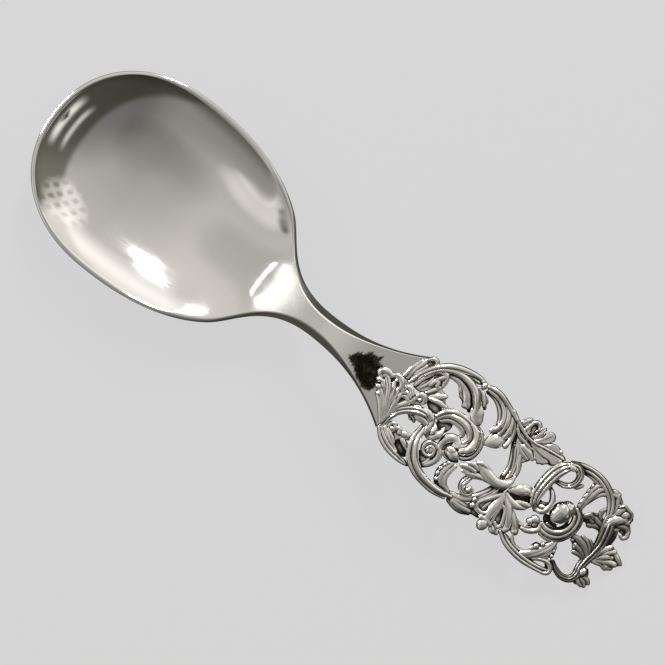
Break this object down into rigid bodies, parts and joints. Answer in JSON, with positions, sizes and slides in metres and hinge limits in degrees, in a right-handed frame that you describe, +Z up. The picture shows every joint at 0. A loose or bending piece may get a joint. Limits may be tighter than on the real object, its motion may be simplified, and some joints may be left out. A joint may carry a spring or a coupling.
{
  "type": "serving spoon",
  "caption": "Silver serving spoon with a deep oval bowl, a short bevelled stem and a pierced handle of acanthus scrolls and leaves; serves food by hand.",
  "frame": {"origin": "middle of the spoon's outline, on the surface it lies on", "axes": "+X along the spoon from the bowl to the handle's end, +Y across it, +Z up out of the bowl"},
  "size_m": [0.175, 0.0504, 0.0169],
  "materials": {
    "polished_silver": "polished silver, lightly scratched by use",
    "cast_silver": "cast silver, polished on the ridges and darkened with tarnish in the hollows"
  },
  "bodies": {
    "root": {"bowl_and_stem": "polished_silver", "center_tongue": "cast_silver", "ring_scroll": "cast_silver", "great_volute": "cast_silver", "ball_boss": "polished_silver", "crown_leaf": "cast_silver", "crest_leaf": "cast_silver", "heel_acanthus": "cast_silver", "arch_scroll": "cast_silver", "upper_blade": "cast_silver", "outer_strap": "cast_silver", "lower_rim": "cast_silver", "hooded_bud": "cast_silver", "boss_scroll": "cast_silver", "hooked_leaf": "cast_silver", "shell_fan": "cast_silver", "shoulder_ribs": "cast_silver", "curled_leaf": "cast_silver", "rosette": "cast_silver", "palmette": "cast_silver", "top_arch": "cast_silver", "bud_scroll": "cast_silver", "main_stem": "cast_silver", "small_volute": "cast_silver", "twin_leaves": "cast_silver", "hanging_leaf": "cast_silver", "right_rim": "cast_silver", "rim_leaf": "cast_silver", "beaded_leaf": "cast_silver", "foot_leaf": "cast_silver", "bottom_leaf": "cast_silver", "end_stem": "cast_silver", "tip_leaf": "cast_silver", "inner_leaf": "cast_silver", "upper_inner_leaf": "cast_silver", "upper_end_leaf": "cast_silver", "low_end_leaf": "cast_silver"}
  },
  "joints": []
}
